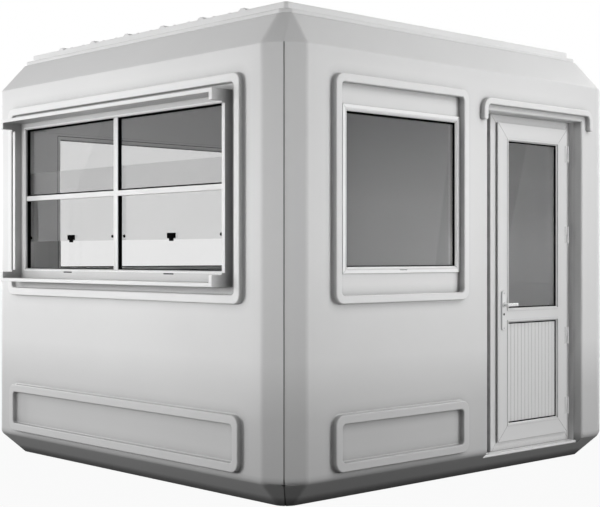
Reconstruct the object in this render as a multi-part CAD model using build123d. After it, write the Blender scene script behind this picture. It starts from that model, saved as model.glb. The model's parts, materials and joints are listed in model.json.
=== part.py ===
"""Fibreglass cabin: moulded walls with cut corners, service windows, a glazed door and a ribbed roof.

Millimetres, +Z up, origin on the ground in the middle of the footprint.
The front wall faces -Y and the door wall faces +X.
Pieces on a wall are drawn on the front wall and turned to their own wall.
"""
import math
import os

from build123d import *

# Turns about Z that carry the front wall to each wall.
FRONT = 0
RIGHT = 90
BACK = 180
LEFT = -90
QUARTERS = (FRONT, RIGHT, BACK, LEFT)

# Plan: a square with each corner cut by two equal facets.
WIDTH = 2700
CORNER_CUT = 155
SIDE_TURN = 30
WALL_THICK = 60
HALF = WIDTH / 2
REACH = 2 * WIDTH
PICK_NEAR = 1

# Skirt, walls and roof, from the ground up.
SKIRT_TALL = 128
SKIRT_IN = 140
SKIRT_ROUND = 36
FLOOR_DROP = 31
FLOOR_TOP = SKIRT_TALL - FLOOR_DROP
WALL_TOP = 2200
CORNICE_TALL = 165
CORNICE_IN = 140
CORNICE_ROUND = 14
CORNICE_TOP = WALL_TOP + CORNICE_TALL
CEILING_THICK = 60
LIP_STEP = 10
LIP_TALL = 23
LIP_IN = CORNICE_IN + LIP_STEP
LIP_TOP = CORNICE_TOP + LIP_TALL
SHEET_STEP = 40
SHEET_THICK = 40
SHEET_IN = LIP_IN + SHEET_STEP
SHEET_TOP = LIP_TOP + SHEET_THICK
RIB_HIGH = 12
RIB_PITCH = 333
RIB_FOOT = 62
RIB_CROWN = 26

# Upright seam on each corner ridge.
SEAM_WIDE = 6
SEAM_DEEP = 9

# Raised beads moulded on the walls.
BEAD_WIDE = 44
BEAD_PROUD = 31
BEAD_CORNER = 50
BEAD_INNER_CORNER = 20
BEAD_EDGE = 4
BEAD_END = 292
WIDE_BEAD_HALF = HALF - BEAD_END
SURROUND_END = 278
SURROUND_HALF = HALF - SURROUND_END
PANEL_UP = 32
PANEL_TALL = 274
PANEL_LOW = SKIRT_TALL + PANEL_UP
PANEL_HIGH = PANEL_LOW + PANEL_TALL
SURROUND_LOW = 967
SURROUND_DROP = 124
SURROUND_HIGH = WALL_TOP - SURROUND_DROP

# Casing that stands out of the front wall round the service window.
CASING_SIDE = 87
CASING_OVER = 76
CASING_UNDER = 82
CASING_HALF = SURROUND_HALF - CASING_SIDE
CASING_LOW = SURROUND_LOW + CASING_UNDER
CASING_HIGH = SURROUND_HIGH - CASING_OVER
CASING_PLATE = 20
CASING_JAMB = 25
PLATE_PROUD = 127
JAMB_PROUD = 46
EAR_TALL = 57
STEP_PROUD = 66
STEP_TALL = 10

# Wide windows: the service window on the front wall, one pane on the left wall.
SASH_PROUD = 4
SASH_DEPTH = 62
SASH_STILE = 46
SASH_TOP_RAIL = 37
SASH_BOTTOM_RAIL = 55
SASH_BEVEL = 6
SASH_HALF = CASING_HALF - CASING_JAMB
SASH_LOW = CASING_LOW + CASING_PLATE
SASH_HIGH = CASING_HIGH - CASING_PLATE
CELL_HALF = SASH_HALF - SASH_STILE
LEFT_STILE = 90
LEFT_CELL_HALF = SASH_HALF - LEFT_STILE
CELL_LOW = SASH_LOW + SASH_BOTTOM_RAIL
CELL_HIGH = SASH_HIGH - SASH_TOP_RAIL
BAR_BACK = 10
MULLION = 40
TRANSOM_TALL = 28
TRANSOM_DEPTH = 36
lower_cell_share = 0.486
GLASS_THICK = 6
FIXED_PANE_BACK = 24
SERVICE_GAP = 159
SLIDER_LAP = 4
SLIDER_UNDER = 15
LATCH_UP = 6
LATCH_WIDE = 60
LATCH_TALL = 28
LATCH_PROUD = 12
TAB_WIDE = 25
TAB_TALL = 14

# Door niche, its liner and the hood bead over it.
NICHE_END = 322
NICHE_WIDE = 888
NICHE_DROP = 213
NICHE_DEEP = 92
NICHE_ROUND = 12
NICHE_A1 = HALF - NICHE_END
NICHE_A0 = NICHE_A1 - NICHE_WIDE
NICHE_TOP = WALL_TOP - NICHE_DROP
LINER_THICK = 40
STRIP_WIDE = 148
STRIP_DEEP = 140
STRIP_THICK = 30
HOOD_LEFT = 55
HOOD_RIGHT = 72
HOOD_UP = 66
HOOD_LEG = 120
HOOD_WIDE = 34
HOOD_CORNER = 60
HOOD_INNER_CORNER = 26
HOOD_END_ROUND = 12

# Window on the door wall.
SIDE_END = 316
BAY_GAP = 185
SIDE_A0 = -HALF + SIDE_END
SIDE_A1 = NICHE_A0 - BAY_GAP
SIDE_BEAD = 40
RECESS_DEEP = 10
SIDE_FILL = 35
UNDER_STRIP = 105
OVER_STRIP = 102
SIDE_PROFILE = 33
SIDE_FRAME_BACK = 2
SIDE_FRAME_DEPTH = 58
SIDE_BEVEL = 8
SEALED_PANE = 14
SEALED_PANE_BACK = 12

# Door frame and leaf.
FRAME_DEPTH = 60
FRAME_FACE = 58
FRAME_SILL = 77
LEAF_LAP = 12
LEAF_GAP = 10
SEAL_GAP = 5
FLANGE_THICK = 11
LEAF_BODY = 52
LEAF_STILE = 97
LEAF_TOP_RAIL = 98
LEAF_MID_RAIL = 82
LEAF_BOTTOM_RAIL = 97
LEAF_PANEL_TALL = 564
LEAF_BEVEL = 8
PLANK_COUNT = 14
PLANK_GROOVE = 3
THRESHOLD_BACK = 40
THRESHOLD_TALL = 13

# Hinges: a barrel in halves on one pin, beside the leaf edge.
hinge_shares = (0.087, 0.319, 0.652, 0.92)
HINGE_TALL = 98
KNUCKLE_GAP = 2
BARREL_R = 7
HINGE_PIN_R = 3.5
HINGE_BORE_R = 4
BARREL_OFF = 9
HINGE_WEB = 6

# Lock plates, keyhole and lever.
LEVER_IN = 43
LEVER_UP = 828
PLATE_WIDE = 31
PLATE_BELOW = 141
PLATE_ABOVE = 76
PLATE_THICK = 8
PLATE_ROUND = 8
KEYHOLE_BELOW = 53
KEYHOLE_R = 7
SPINDLE_R = 6
SPINDLE_BORE_R = 7
NECK_R = 9
NECK_LONG = 32
GRIP_LONG = 88
GRIP_TALL = 17
GRIP_THICK = 12
GRIP_ROUND = 5
LEVER_GAP = 1


def save(shape, node):
    export_step(shape, f"parts/{node}.step")


def span_box(a0, a1, out0, out1, z0, z1):
    """Box on the front wall: a0 to a1 along it, out0 to out1 outwards from the wall face."""
    middle = Pos((a0 + a1) / 2, -HALF - (out0 + out1) / 2, (z0 + z1) / 2)
    return middle * Box(a1 - a0, out1 - out0, z1 - z0)


def turned(shape, turn):
    return Rot(0, 0, turn) * shape


def several(shapes):
    return Compound(children=list(shapes))


def side_distance(turn):
    """Distance of a side from the middle: walls at quarter turns, facets between them."""
    if turn % RIGHT == 0:
        return HALF
    near = math.radians(SIDE_TURN)
    return (HALF - CORNER_CUT) * math.sin(near) + HALF * math.cos(near)


def twelve_sided(outline, round_z=0, radius=0):
    """Solid shared by all twelve sides; outline lists (inset, height) from the foot up."""
    solid = None
    for turn in range(0, 4 * RIGHT, SIDE_TURN):
        dist = side_distance(turn)
        points = [(dist - inset, height) for inset, height in outline]
        points = [(-REACH, points[0][1])] + points + [(-REACH, points[-1][1])]
        face = Plane.XZ * make_face(Polyline(*points, close=True))
        if radius:
            corner = [v for v in face.vertices() if abs(v.Z - round_z) < PICK_NEAR and v.X > 0]
            face = fillet(corner, radius)
        side = turned(extrude(face, amount=REACH, both=True), turn)
        solid = side if solid is None else solid & side
    return solid


def plan_face(inset):
    """Twelve-sided plan outline, moved in by the inset."""
    points = []
    for turn in range(0, 4 * RIGHT, SIDE_TURN):
        first = math.radians(turn)
        step = math.radians(SIDE_TURN)
        dist = side_distance(turn) - inset
        following = side_distance(turn + SIDE_TURN) - inset
        along = (following - dist * math.cos(step)) / math.sin(step)
        x = dist * math.cos(first) - along * math.sin(first)
        y = dist * math.sin(first) + along * math.cos(first)
        points.append((x, y))
    return make_face(Polyline(*points, close=True))


def plan_slab(inset, z0, z1):
    return extrude(Pos(0, 0, z0) * plan_face(inset), amount=z1 - z0)


def wall_sketch(sketch, a, z, out=0):
    """Sketch placed on the front wall, its middle at a and z, out from the wall face."""
    return Plane.XZ.offset(HALF + out) * Pos(a, z) * sketch


def eased_front(shape, size):
    """Take off the edges of the outermost face of a piece on the front wall."""
    return chamfer(shape.faces().sort_by(Axis.Y)[0].edges(), size)


def bevelled_cells(shape, size):
    """Bevel the edges of the holes in the outermost face, as a glazing bead does."""
    rims = shape.faces().sort_by(Axis.Y)[0].inner_wires()
    return chamfer([edge for rim in rims for edge in rim.edges()], size)


def edge_rounder(radius, long):
    """Tool that rounds an edge lying along Z, with the kept material in the +X -Y quarter."""
    corner = Pos(radius / 2, -radius / 2) * Rectangle(radius, radius) - Pos(radius, -radius) * Circle(radius)
    return extrude(corner, amount=long)


def bead_ring(a0, a1, z0, z1, wide):
    outer = RectangleRounded(a1 - a0, z1 - z0, BEAD_CORNER)
    inner = RectangleRounded(a1 - a0 - 2 * wide, z1 - z0 - 2 * wide, BEAD_INNER_CORNER)
    face = wall_sketch(outer - inner, (a0 + a1) / 2, (z0 + z1) / 2)
    return eased_front(extrude(face, amount=BEAD_PROUD), BEAD_EDGE)


def rectangle_tube(a0, a1, z0, z1, out0, out1, face):
    """Square-cornered frame; face holds the left, right, bottom and top widths."""
    left, right, bottom, top = face
    whole = span_box(a0, a1, out0, out1, z0, z1)
    return whole - span_box(a0 + left, a1 - right, out0, out1, z0 + bottom, z1 - top)


os.makedirs("parts", exist_ok=True)

# The moulded shell: base and walls share one skirt profile, so they run on smoothly.
near = math.radians(SIDE_TURN / 2)
ridge = side_distance(SIDE_TURN) / math.cos(near)
ridge_foot = ridge - SKIRT_IN / math.cos(near)
shell = twelve_sided([(SKIRT_IN, 0), (0, SKIRT_TALL), (0, WALL_TOP)], SKIRT_TALL, SKIRT_ROUND)
seam_points = [
    (ridge_foot - SEAM_DEEP, 0),
    (ridge_foot + CORNER_CUT, 0),
    (ridge + CORNER_CUT, WALL_TOP),
    (ridge - SEAM_DEEP, WALL_TOP),
    (ridge - SEAM_DEEP, SKIRT_TALL),
]
seam = extrude(Plane.XZ * make_face(Polyline(*seam_points, close=True)), amount=SEAM_WIDE / 2, both=True)
for turn in QUARTERS:
    shell = shell - turned(seam, turn + RIGHT / 2)

base_tray = shell & Pos(0, 0, FLOOR_TOP / 2) * Box(REACH, REACH, FLOOR_TOP)
save(base_tray, "base_tray")

wall_band = Pos(0, 0, (FLOOR_TOP + WALL_TOP) / 2) * Box(REACH, REACH, WALL_TOP - FLOOR_TOP)
walls = (shell & wall_band) - plan_slab(WALL_THICK, FLOOR_TOP, WALL_TOP)
wedge_points = [(0, 0), (-WIDTH, -WIDTH), (WIDTH, -WIDTH)]
wedge = extrude(make_face(Polyline(*wedge_points, close=True)), amount=CORNICE_TOP)
panel = walls & wedge


def panel_piece(a0, a1, z0, z1):
    """Part of a wall panel between a0 and a1 along the wall and z0 and z1 in height."""
    return panel & span_box(a0, a1, -HALF, CORNER_CUT, z0, z1)


# Walls with a wide window. The casing lines the front opening, a frame fills the left one.
wide_openings = (
    ("front", FRONT, CASING_HALF, CASING_LOW, CASING_HIGH),
    ("left", LEFT, SASH_HALF, SASH_LOW, SASH_HIGH),
)
for wall, turn, half, low, high in wide_openings:
    first_pier = panel_piece(-HALF, -half, FLOOR_TOP, WALL_TOP)
    last_pier = panel_piece(half, HALF, FLOOR_TOP, WALL_TOP)
    below = panel_piece(-half, half, FLOOR_TOP, low)
    above = panel_piece(-half, half, high, WALL_TOP)
    save(turned(first_pier, turn), f"{wall}_wall_left_pier")
    save(turned(last_pier, turn), f"{wall}_wall_right_pier")
    save(turned(below, turn), f"{wall}_wall_below_window")
    save(turned(above, turn), f"{wall}_wall_above_window")

# Back wall, plain.
save(turned(panel, BACK), "back_wall")

# Door wall: window bay, then the door bay with the edges of its niche rounded.
bay_a0 = SIDE_A0 + SIDE_BEAD
bay_a1 = SIDE_A1 - SIDE_BEAD
side_frame_a0 = bay_a0 + SIDE_FILL
bay_low = SURROUND_LOW + SIDE_BEAD
bay_high = SURROUND_HIGH - SIDE_BEAD
side_frame_low = bay_low + UNDER_STRIP
side_frame_high = bay_high - OVER_STRIP
recess = span_box(bay_a0, bay_a1, -RECESS_DEEP, RECESS_DEEP, bay_low, bay_high)
jamb_round = edge_rounder(NICHE_ROUND, NICHE_TOP - FLOOR_TOP)
jamb_round = Pos(NICHE_A1, -HALF, FLOOR_TOP) * Rot(0, 0, RIGHT) * jamb_round
head_round = edge_rounder(NICHE_ROUND, NICHE_WIDE)
head_round = Pos(NICHE_A0, -HALF, NICHE_TOP) * Rot(0, RIGHT, 0) * Rot(0, 0, BACK) * head_round
right_pieces = {
    "right_wall_near_pier": panel_piece(-HALF, side_frame_a0, FLOOR_TOP, WALL_TOP) - recess,
    "right_wall_below_window": panel_piece(side_frame_a0, bay_a1, FLOOR_TOP, side_frame_low) - recess,
    "right_wall_above_window": panel_piece(side_frame_a0, bay_a1, side_frame_high, WALL_TOP) - recess,
    "right_wall_middle_pier": panel_piece(bay_a1, NICHE_A0, FLOOR_TOP, WALL_TOP),
    "right_wall_over_door": panel_piece(NICHE_A0, NICHE_A1, NICHE_TOP, WALL_TOP) - head_round,
    "right_wall_far_pier": panel_piece(NICHE_A1, HALF, FLOOR_TOP, WALL_TOP) - jamb_round,
}
for node, piece in right_pieces.items():
    save(turned(piece, RIGHT), node)

# Raised beads.
wide_panel = bead_ring(-WIDE_BEAD_HALF, WIDE_BEAD_HALF, PANEL_LOW, PANEL_HIGH, BEAD_WIDE)
side_panel = bead_ring(SIDE_A0, SIDE_A1, PANEL_LOW, PANEL_HIGH, BEAD_WIDE)
wide_panels = [turned(wide_panel, turn) for turn in (FRONT, LEFT, BACK)]
save(several(wide_panels + [turned(side_panel, RIGHT)]), "lower_panel_beads")
surround = bead_ring(-SURROUND_HALF, SURROUND_HALF, SURROUND_LOW, SURROUND_HIGH, BEAD_WIDE)
save(turned(surround, FRONT), "front_window_surround")
save(turned(surround, LEFT), "left_window_surround")
side_surround = bead_ring(SIDE_A0, SIDE_A1, SURROUND_LOW, SURROUND_HIGH, SIDE_BEAD)
save(turned(side_surround, RIGHT), "right_window_surround")

# Casing of the service window: header and sill plates, and cheeks with stepped ears.
header = span_box(-CASING_HALF, CASING_HALF, -WALL_THICK, PLATE_PROUD, SASH_HIGH, CASING_HIGH)
sill = span_box(-CASING_HALF, CASING_HALF, -WALL_THICK, PLATE_PROUD, CASING_LOW, SASH_LOW)
casing = header + sill
for sign in (-1, 1):
    ends = sorted((sign * CASING_HALF, sign * SASH_HALF))
    casing += span_box(*ends, -WALL_THICK, JAMB_PROUD, CASING_LOW, CASING_HIGH)
    for proud, tall in ((PLATE_PROUD, EAR_TALL), (STEP_PROUD, EAR_TALL + STEP_TALL)):
        casing += span_box(*ends, 0, proud, CASING_HIGH - tall, CASING_HIGH)
        casing += span_box(*ends, 0, proud, CASING_LOW, CASING_LOW + tall)
save(turned(casing, FRONT), "front_window_casing")

# Service window: a frame with two columns, fixed panes above and raised panes below.
sash_back = SASH_PROUD - SASH_DEPTH
widths = (SASH_STILE, SASH_STILE, SASH_BOTTOM_RAIL, SASH_TOP_RAIL)
sash = rectangle_tube(-SASH_HALF, SASH_HALF, SASH_LOW, SASH_HIGH, sash_back, SASH_PROUD, widths)
sash = bevelled_cells(sash, SASH_BEVEL)
lower_cell = (CELL_HIGH - CELL_LOW) * lower_cell_share
transom_low = CELL_LOW + lower_cell
transom_high = transom_low + TRANSOM_TALL
bar_front = SASH_PROUD - BAR_BACK
transom_back = SASH_PROUD - TRANSOM_DEPTH
bars = span_box(-MULLION / 2, MULLION / 2, transom_back, bar_front, CELL_LOW, CELL_HIGH)
bars += span_box(-CELL_HALF, CELL_HALF, transom_back, bar_front, transom_low, transom_high)
save(turned(sash + bars, FRONT), "front_window_frame")

fixed_front = SASH_PROUD - FIXED_PANE_BACK
slider_low = CELL_LOW + SERVICE_GAP
slider_high = slider_low + lower_cell + SLIDER_LAP
latch_low = slider_low + LATCH_UP
latch_out = transom_back + LATCH_PROUD
fixed_panes = []
sliders = []
latches = []
for sign in (-1, 1):
    a0, a1 = sorted((sign * CELL_HALF, sign * MULLION / 2))
    middle = (a0 + a1) / 2
    fixed_panes.append(span_box(a0, a1, fixed_front - GLASS_THICK, fixed_front, transom_high, CELL_HIGH))
    ends = sorted((sign * CELL_HALF, sign * (MULLION / 2 - SLIDER_UNDER)))
    sliders.append(span_box(*ends, transom_back - GLASS_THICK, transom_back, slider_low, slider_high))
    latch = span_box(
        middle - LATCH_WIDE / 2, middle + LATCH_WIDE / 2, transom_back, latch_out,
        latch_low, latch_low + LATCH_TALL,
    )
    latch += span_box(
        middle - TAB_WIDE / 2, middle + TAB_WIDE / 2, transom_back, latch_out,
        latch_low - TAB_TALL, latch_low,
    )
    latches.append(latch)
save(several(fixed_panes), "front_window_fixed_panes")
save(several(sliders), "front_window_raised_panes")
save(several(latches), "front_window_latches")

# Left window and the window on the door wall: frames with one sealed pane.
widths = (LEFT_STILE, LEFT_STILE, SASH_BOTTOM_RAIL, SASH_TOP_RAIL)
left_frame = rectangle_tube(-SASH_HALF, SASH_HALF, SASH_LOW, SASH_HIGH, sash_back, SASH_PROUD, widths)
save(turned(bevelled_cells(left_frame, SASH_BEVEL), LEFT), "left_window_frame")
pane_front = SASH_PROUD - SEALED_PANE_BACK
pane_back = pane_front - SEALED_PANE
left_pane = span_box(-LEFT_CELL_HALF, LEFT_CELL_HALF, pane_back, pane_front, CELL_LOW, CELL_HIGH)
save(turned(left_pane, LEFT), "left_window_pane")
widths = (SIDE_PROFILE, SIDE_PROFILE, SIDE_PROFILE, SIDE_PROFILE)
side_back = -SIDE_FRAME_BACK - SIDE_FRAME_DEPTH
side_frame = rectangle_tube(
    side_frame_a0, bay_a1, side_frame_low, side_frame_high, side_back, -SIDE_FRAME_BACK, widths,
)
save(turned(bevelled_cells(side_frame, SIDE_BEVEL), RIGHT), "right_window_frame")
pane_front = -SIDE_FRAME_BACK - SEALED_PANE_BACK
side_pane = span_box(
    side_frame_a0 + SIDE_PROFILE, bay_a1 - SIDE_PROFILE, pane_front - SEALED_PANE, pane_front,
    side_frame_low + SIDE_PROFILE, side_frame_high - SIDE_PROFILE,
)
save(turned(side_pane, RIGHT), "right_window_pane")

# Liner that carries the door niche into the room.
frame_a0 = NICHE_A0 + STRIP_WIDE
liner_back = -NICHE_DEEP - FRAME_DEPTH
liner_top = NICHE_TOP + LINER_THICK
strip_back = -STRIP_DEEP - STRIP_THICK
liner = span_box(NICHE_A0 - LINER_THICK, NICHE_A0, strip_back, -WALL_THICK, FLOOR_TOP, liner_top)
liner += span_box(NICHE_A1, NICHE_A1 + LINER_THICK, liner_back, -WALL_THICK, FLOOR_TOP, liner_top)
liner += span_box(NICHE_A0, NICHE_A1, liner_back, -WALL_THICK, NICHE_TOP, liner_top)
liner += span_box(NICHE_A0, frame_a0, strip_back, -STRIP_DEEP, FLOOR_TOP, liner_top)
save(turned(liner, RIGHT), "door_niche_liner")

# Hood bead over the niche.
hood_a0 = NICHE_A0 - HOOD_LEFT
hood_a1 = NICHE_A1 + HOOD_RIGHT
hood_top = NICHE_TOP + HOOD_UP
hood_wide = hood_a1 - hood_a0
hood_face = RectangleRounded(hood_wide, hood_top, HOOD_CORNER)
hood_face -= RectangleRounded(hood_wide - 2 * HOOD_WIDE, hood_top - 2 * HOOD_WIDE, HOOD_INNER_CORNER)
hood_face = wall_sketch(hood_face, (hood_a0 + hood_a1) / 2, hood_top / 2)
hood = extrude(hood_face, amount=BEAD_PROUD)
hood = hood & span_box(hood_a0, hood_a1, 0, BEAD_PROUD, hood_top - HOOD_LEG, hood_top)
hood = fillet(hood.edges().filter_by(Axis.Y).group_by(Axis.Z)[0], HOOD_END_ROUND)
save(turned(eased_front(hood, BEAD_EDGE), RIGHT), "door_hood_bead")

# Door frame.
frame_front = -NICHE_DEEP
frame_back = frame_front - FRAME_DEPTH
widths = (FRAME_FACE, FRAME_FACE, FRAME_SILL, FRAME_FACE)
door_frame = rectangle_tube(frame_a0, NICHE_A1, FLOOR_TOP, NICHE_TOP, frame_back, frame_front, widths)
save(turned(door_frame, RIGHT), "door_frame")
threshold = span_box(
    NICHE_A0, NICHE_A1, frame_front, -THRESHOLD_BACK, FLOOR_TOP, FLOOR_TOP + THRESHOLD_TALL,
)
save(turned(threshold, RIGHT), "door_threshold")

# Door leaf: a body inside the frame and a flange that laps its face.
hole_a0 = frame_a0 + FRAME_FACE
hole_a1 = NICHE_A1 - FRAME_FACE
hole_low = FLOOR_TOP + FRAME_SILL
hole_high = NICHE_TOP - FRAME_FACE
leaf_a0 = hole_a0 - LEAF_LAP
leaf_a1 = hole_a1 + LEAF_LAP
leaf_low = hole_low - LEAF_LAP
leaf_high = hole_high + LEAF_LAP
flange_back = frame_front + SEAL_GAP
leaf_front = flange_back + FLANGE_THICK
leaf_back = flange_back - LEAF_BODY
leaf = span_box(leaf_a0, leaf_a1, flange_back, leaf_front, leaf_low, leaf_high)
leaf += span_box(
    hole_a0 + LEAF_GAP, hole_a1 - LEAF_GAP, leaf_back, flange_back,
    hole_low + LEAF_GAP, hole_high - LEAF_GAP,
)
glass_a0 = leaf_a0 + LEAF_STILE
glass_a1 = leaf_a1 - LEAF_STILE
panel_low = leaf_low + LEAF_BOTTOM_RAIL
panel_high = panel_low + LEAF_PANEL_TALL
glass_low = panel_high + LEAF_MID_RAIL
glass_high = leaf_high - LEAF_TOP_RAIL
for low, high in ((glass_low, glass_high), (panel_low, panel_high)):
    leaf -= span_box(glass_a0, glass_a1, leaf_back, leaf_front, low, high)
leaf = bevelled_cells(leaf, LEAF_BEVEL)
lever_a = leaf_a0 + LEVER_IN
lever_z = FLOOR_TOP + LEVER_UP
spindle = wall_sketch(Circle(SPINDLE_BORE_R), lever_a, lever_z, leaf_front)
leaf -= extrude(spindle, amount=-LEAF_BODY - FLANGE_THICK)
save(turned(leaf, RIGHT), "door_leaf")

pane_front = leaf_front - SEALED_PANE_BACK
pane_back = pane_front - SEALED_PANE
door_pane = span_box(glass_a0, glass_a1, pane_back, pane_front, glass_low, glass_high)
save(turned(door_pane, RIGHT), "door_pane")
door_panel = span_box(glass_a0, glass_a1, pane_back, pane_front, panel_low, panel_high)
plank = (glass_a1 - glass_a0) / PLANK_COUNT
for count in range(1, PLANK_COUNT):
    groove = Pos(glass_a0 + count * plank, -HALF - pane_front) * Rot(0, 0, RIGHT / 2)
    groove = groove * Rectangle(PLANK_GROOVE, PLANK_GROOVE)
    door_panel -= extrude(groove, amount=HALF)
save(turned(door_panel, RIGHT), "door_lower_panel")

# Hinges.
axis_a = leaf_a1 + BARREL_OFF
axis_out = leaf_front
barrel_half = (HINGE_TALL - KNUCKLE_GAP) / 2
fixed_halves = []
moving_halves = []
for share in hinge_shares:
    height = leaf_low + (leaf_high - leaf_low) * share
    foot = height - HINGE_TALL / 2
    upper = foot + barrel_half + KNUCKLE_GAP
    stand = Pos(axis_a, -HALF - axis_out)
    fixed = extrude(Pos(0, 0, foot) * stand * Circle(BARREL_R), amount=barrel_half)
    fixed += extrude(Pos(0, 0, foot) * stand * Circle(HINGE_PIN_R), amount=HINGE_TALL)
    fixed += span_box(
        axis_a - HINGE_WEB / 2, axis_a + HINGE_WEB / 2, frame_front, axis_out, foot, foot + barrel_half,
    )
    moving = extrude(Pos(0, 0, upper) * stand * Circle(BARREL_R), amount=barrel_half)
    moving += span_box(leaf_a1, axis_a, axis_out - HINGE_WEB, axis_out, upper, upper + barrel_half)
    moving -= extrude(Pos(0, 0, upper) * stand * Circle(HINGE_BORE_R), amount=barrel_half)
    fixed_halves.append(turned(fixed, RIGHT))
    moving_halves.append(turned(moving, RIGHT))
save(several(fixed_halves), "door_hinge_fixed_halves")
save(several(moving_halves), "door_hinge_moving_halves")

# Lock plates on both faces of the leaf, and the lever with its spindle.
plate_mid = lever_z + (PLATE_ABOVE - PLATE_BELOW) / 2
plate_sketch = RectangleRounded(PLATE_WIDE, PLATE_BELOW + PLATE_ABOVE, PLATE_ROUND)
plate_sketch -= Pos(0, lever_z - plate_mid) * Circle(SPINDLE_BORE_R)
plate_sketch -= Pos(0, lever_z - KEYHOLE_BELOW - plate_mid) * Circle(KEYHOLE_R)
outer_plate = extrude(wall_sketch(plate_sketch, lever_a, plate_mid, leaf_front), amount=PLATE_THICK)
inner_plate = extrude(wall_sketch(plate_sketch, lever_a, plate_mid, leaf_back), amount=-PLATE_THICK)
save(several([turned(outer_plate, RIGHT), turned(inner_plate, RIGHT)]), "door_lock_plates")

plate_out = leaf_front + PLATE_THICK
plate_in = leaf_back - PLATE_THICK
neck_out = plate_out + LEVER_GAP
neck_in = plate_in - LEVER_GAP
grip_out = neck_out + NECK_LONG
grip_in = neck_in - NECK_LONG
lever = extrude(wall_sketch(Circle(SPINDLE_R), lever_a, lever_z, neck_in), amount=neck_out - neck_in)
lever += extrude(wall_sketch(Circle(NECK_R), lever_a, lever_z, neck_out), amount=NECK_LONG)
lever += extrude(wall_sketch(Circle(NECK_R), lever_a, lever_z, neck_in), amount=-NECK_LONG)
for out0, out1 in ((grip_out - GRIP_THICK, grip_out), (grip_in, grip_in + GRIP_THICK)):
    grip = span_box(
        lever_a - NECK_R, lever_a + GRIP_LONG, out0, out1,
        lever_z - GRIP_TALL / 2, lever_z + GRIP_TALL / 2,
    )
    lever += fillet(grip.edges().filter_by(Axis.X), GRIP_ROUND)
save(turned(lever, RIGHT), "door_lever")

# Roof: cornice ring, ceiling panel, lip and ribbed sheet.
cornice_outline = [(0, WALL_TOP), (CORNICE_IN, CORNICE_TOP)]
inner_outline = [(WALL_THICK, WALL_TOP), (WALL_THICK + CORNICE_IN, CORNICE_TOP)]
cornice_hollow = twelve_sided(inner_outline)
cornice = twelve_sided(cornice_outline, CORNICE_TOP, CORNICE_ROUND) - cornice_hollow
save(cornice, "roof_cornice")
ceiling_band = Pos(0, 0, CORNICE_TOP - CEILING_THICK / 2) * Box(REACH, REACH, CEILING_THICK)
save(cornice_hollow & ceiling_band, "ceiling_panel")
save(plan_slab(LIP_IN, CORNICE_TOP, LIP_TOP), "roof_lip")

sheet = plan_slab(SHEET_IN, LIP_TOP, SHEET_TOP)
rib_points = [
    (-RIB_FOOT / 2, SHEET_TOP),
    (RIB_FOOT / 2, SHEET_TOP),
    (RIB_CROWN / 2, SHEET_TOP + RIB_HIGH),
    (-RIB_CROWN / 2, SHEET_TOP + RIB_HIGH),
]
rib = extrude(Plane.XZ * make_face(Polyline(*rib_points, close=True)), amount=HALF - SHEET_IN, both=True)
ribs_per_side = round((HALF - SHEET_IN - RIB_FOOT / 2) / RIB_PITCH)
for count in range(-ribs_per_side, ribs_per_side):
    sheet += Pos((2 * count + 1) * RIB_PITCH / 2) * rib
save(sheet, "roof_sheet")
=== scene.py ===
"""Looks of the fibreglass cabin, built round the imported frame. Metres, +Z up; the tables of sizes are in mm."""
import json
import math

import bmesh
import bpy
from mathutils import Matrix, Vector

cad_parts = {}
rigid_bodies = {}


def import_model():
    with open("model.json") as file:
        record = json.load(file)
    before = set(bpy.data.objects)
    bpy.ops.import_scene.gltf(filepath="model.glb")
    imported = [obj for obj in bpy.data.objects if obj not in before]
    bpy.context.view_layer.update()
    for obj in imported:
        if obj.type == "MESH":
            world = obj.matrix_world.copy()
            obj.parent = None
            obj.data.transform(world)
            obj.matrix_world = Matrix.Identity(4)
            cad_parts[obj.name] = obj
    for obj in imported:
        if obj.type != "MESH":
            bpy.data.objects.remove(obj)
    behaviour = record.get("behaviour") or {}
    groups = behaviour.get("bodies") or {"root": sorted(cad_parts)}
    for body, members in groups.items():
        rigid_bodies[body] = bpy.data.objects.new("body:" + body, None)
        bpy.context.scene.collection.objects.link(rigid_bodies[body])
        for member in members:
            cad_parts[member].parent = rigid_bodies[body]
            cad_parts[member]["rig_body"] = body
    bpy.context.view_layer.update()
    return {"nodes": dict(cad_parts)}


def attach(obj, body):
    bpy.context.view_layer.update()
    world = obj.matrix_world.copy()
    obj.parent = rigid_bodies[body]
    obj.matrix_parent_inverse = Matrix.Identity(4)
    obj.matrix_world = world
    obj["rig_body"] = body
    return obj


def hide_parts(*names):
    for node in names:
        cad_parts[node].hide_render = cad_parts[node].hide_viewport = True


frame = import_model()
nodes = frame["nodes"]
scene = bpy.context.scene
scene.view_settings.view_transform = "Standard"

# Camera at the photograph's place.
CAM_AT = (5.6656, -5.2698, 1.1984)
CAM_TURN = 46.989
CAM_LENS = 75.89
CAM_SHIFT_Y = 0.0039

cam_data = bpy.data.cameras.new("camera")
cam_data.sensor_fit = "HORIZONTAL"
cam_data.sensor_width = 36.0
cam_data.lens = CAM_LENS
cam_data.shift_y = CAM_SHIFT_Y
cam_data.clip_end = 200.0
cam = bpy.data.objects.new("camera", cam_data)
cam.location = CAM_AT
cam.rotation_euler = (math.radians(90.0), 0.0, math.radians(CAM_TURN))
scene.collection.objects.link(cam)
scene.camera = cam


# Materials.
def tree(name):
    mat = bpy.data.materials.new(name)
    mat.use_nodes = True
    return mat, mat.node_tree, mat.node_tree.nodes["Principled BSDF"]


def add(nt, kind, **values):
    node = nt.nodes.new(kind)
    for key, value in values.items():
        setattr(node, key, value)
    return node


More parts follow.
